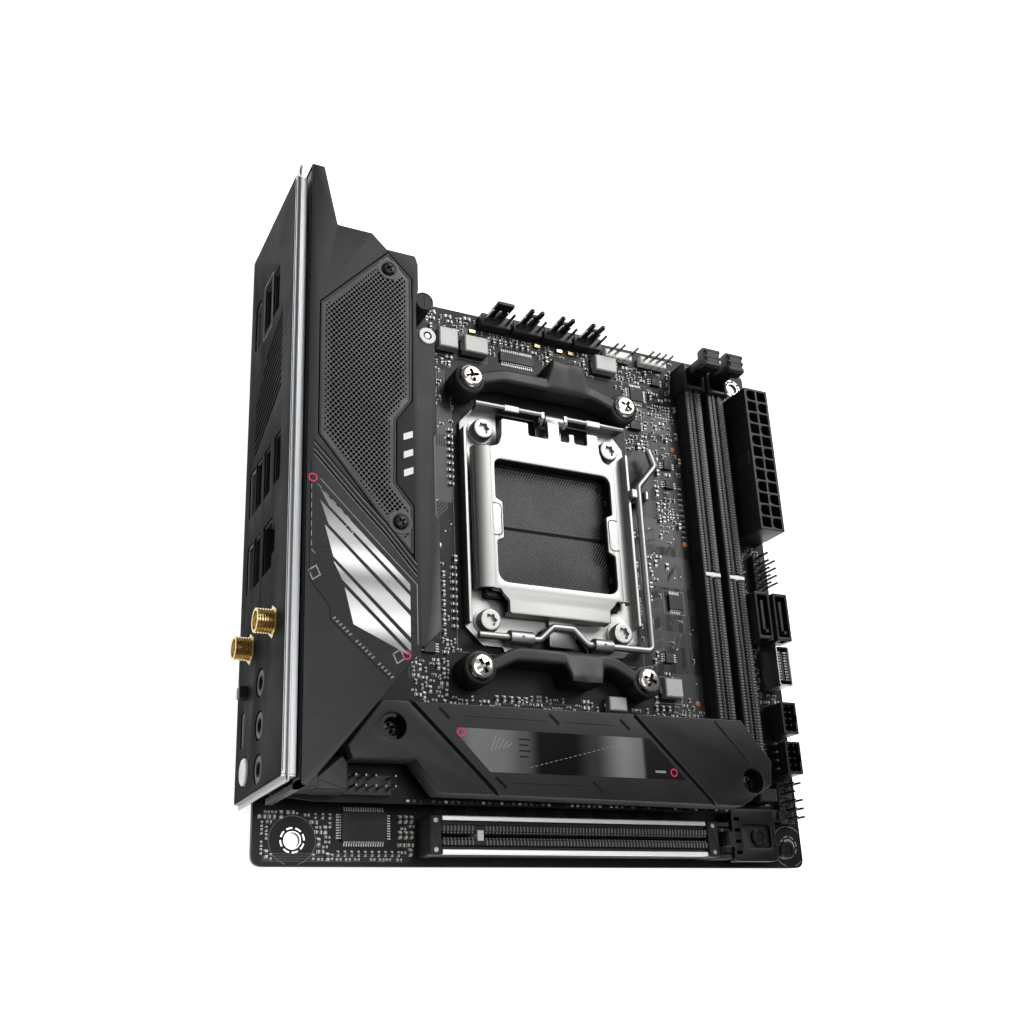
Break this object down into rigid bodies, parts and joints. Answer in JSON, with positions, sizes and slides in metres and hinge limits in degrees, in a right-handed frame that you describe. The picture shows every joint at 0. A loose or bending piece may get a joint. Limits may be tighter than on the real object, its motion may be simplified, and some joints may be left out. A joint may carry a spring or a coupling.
{
  "type": "motherboard",
  "caption": "Compact square computer motherboard with a hinged processor socket, memory and expansion slots, heatsinks and a fitted rear connector shield.",
  "frame": {"origin": "midway between the two slot-side screw holes, on the board's underside", "axes": "+X from the rear connector edge to the memory slots, +Y from the expansion slot edge to the fan header edge, +Z out of the component side"},
  "size_m": [0.178, 0.1765, 0.0472],
  "materials": {
    "board": "matt black solder mask",
    "dark_steel": "black plated",
    "film": "matt",
    "socket_plastic": "matt",
    "contact_field": "fine contacts",
    "bright_steel": "satin stainless",
    "screw_nickel": "nickel plated",
    "black_screw": "black oxide",
    "bracket_plastic": "fine grain",
    "slot_plastic": "satin",
    "connector_plastic": "satin",
    "pale_plastic": "matt",
    "pin_metal": "plated",
    "shell_steel": "plated",
    "black_anodised": "fine brushed black",
    "pad": "soft",
    "gloss_black": "gloss",
    "choke_grey": "matt grey",
    "chip": "matt mould compound",
    "capacitor_can": "dark",
    "cell_steel": "satin",
    "gold": "gold plated",
    "shield_paint": "matt charcoal",
    "vent_paint": "fine texture"
  },
  "bodies": {
    "board": {"circuit_board": "board", "riser_board": "board", "socket_backplate": "dark_steel", "backplate_insulator": "film", "socket_housing": "socket_plastic", "socket_contacts": "contact_field", "socket_base_frame": "bright_steel", "socket_screws": "bright_steel", "bracket_screws": "screw_nickel", "cover_screws": "black_screw", "cooler_bracket_front": "bracket_plastic", "cooler_bracket_back": "bracket_plastic", "memory_slot_1": "slot_plastic", "memory_slot_2": "slot_plastic", "slot_keys": "pale_plastic", "light_headers": "pale_plastic", "main_power_socket": "connector_plastic", "cpu_power_socket": "connector_plastic", "power_pins": "pin_metal", "fan_headers": "connector_plastic", "header_pins": "pin_metal", "header_bases": "connector_plastic", "shrouded_headers": "connector_plastic", "sata_connectors": "connector_plastic", "front_usb_connector": "shell_steel", "expansion_slot": "slot_plastic", "slot_rails": "bright_steel", "standoffs": "screw_nickel", "card_connectors": "connector_plastic", "riser_shield": "black_anodised", "m2_thermal_pad": "pad", "m2_heatsink": "black_anodised", "m2_badge_plate": "gloss_black", "audio_header": "pin_metal", "chipset_heatsink": "black_anodised", "chokes": "choke_grey", "board_chips": "chip", "capacitors": "capacitor_can", "battery": "cell_steel", "hdmi_port": "shell_steel", "usb_ports": "shell_steel", "lan_port": "shell_steel", "usb_c_port": "shell_steel", "wireless_module": "shell_steel", "antenna_sockets": "gold", "audio_jacks": "connector_plastic", "button_switches": "connector_plastic", "io_shield": "shield_paint", "io_cover": "black_anodised", "vent_panel": "vent_paint", "badge_plate": "gloss_black", "vrm_heatsink": "black_anodised"},
    "load_plate": {"load_plate": "bright_steel"},
    "socket_lever": {"socket_lever": "bright_steel"},
    "memory_latch_1": {"memory_latch_1": "slot_plastic"},
    "memory_latch_2": {"memory_latch_2": "slot_plastic"},
    "slot_latch": {"slot_latch": "slot_plastic"},
    "m2_latch": {"m2_latch": "connector_plastic"},
    "flash_button": {"flash_button": "connector_plastic"},
    "clear_button": {"clear_button": "pale_plastic"}
  },
  "joints": [
    {"name": "lever_hinge", "type": "hinge", "parent": "board", "child": "socket_lever", "pos_m": [0.00157, 0.05665, 0.006], "axis": [1, 0, 0], "range_deg": [0, 120]},
    {"name": "plate_hinge", "type": "hinge", "parent": "board", "child": "load_plate", "pos_m": [0.00157, 0.12825, 0.0056], "axis": [-1, 0, 0], "range_deg": [0, 110]},
    {"name": "memory_latch_1_hinge", "type": "hinge", "parent": "board", "child": "memory_latch_1", "pos_m": [0.05597, 0.15465, 0.0048], "axis": [-1, 0, 0], "range_deg": [0, 28]},
    {"name": "memory_latch_2_hinge", "type": "hinge", "parent": "board", "child": "memory_latch_2", "pos_m": [0.06527, 0.15465, 0.0048], "axis": [-1, 0, 0], "range_deg": [0, 28]},
    {"name": "slot_latch_hinge", "type": "hinge", "parent": "board", "child": "slot_latch", "pos_m": [0.04937, 0.00075, 0.005], "axis": [0, 1, 0], "range_deg": [0, 8], "stiffness_Nm_per_rad": 0.04, "springref_deg": -2.86},
    {"name": "m2_latch_turn", "type": "hinge", "parent": "board", "child": "m2_latch", "pos_m": [-0.03963, 0.02045, 0.0154], "axis": [0, 0, 1], "range_deg": [0, 90]},
    {"name": "flash_button_press", "type": "slide", "parent": "board", "child": "flash_button", "axis": [1, 0, 0], "range_m": [0, 0.001], "stiffness_N_per_m": 300, "springref_m": -0.0005},
    {"name": "clear_button_press", "type": "slide", "parent": "board", "child": "clear_button", "axis": [1, 0, 0], "range_m": [0, 0.001], "stiffness_N_per_m": 300, "springref_m": -0.0005}
  ]
}
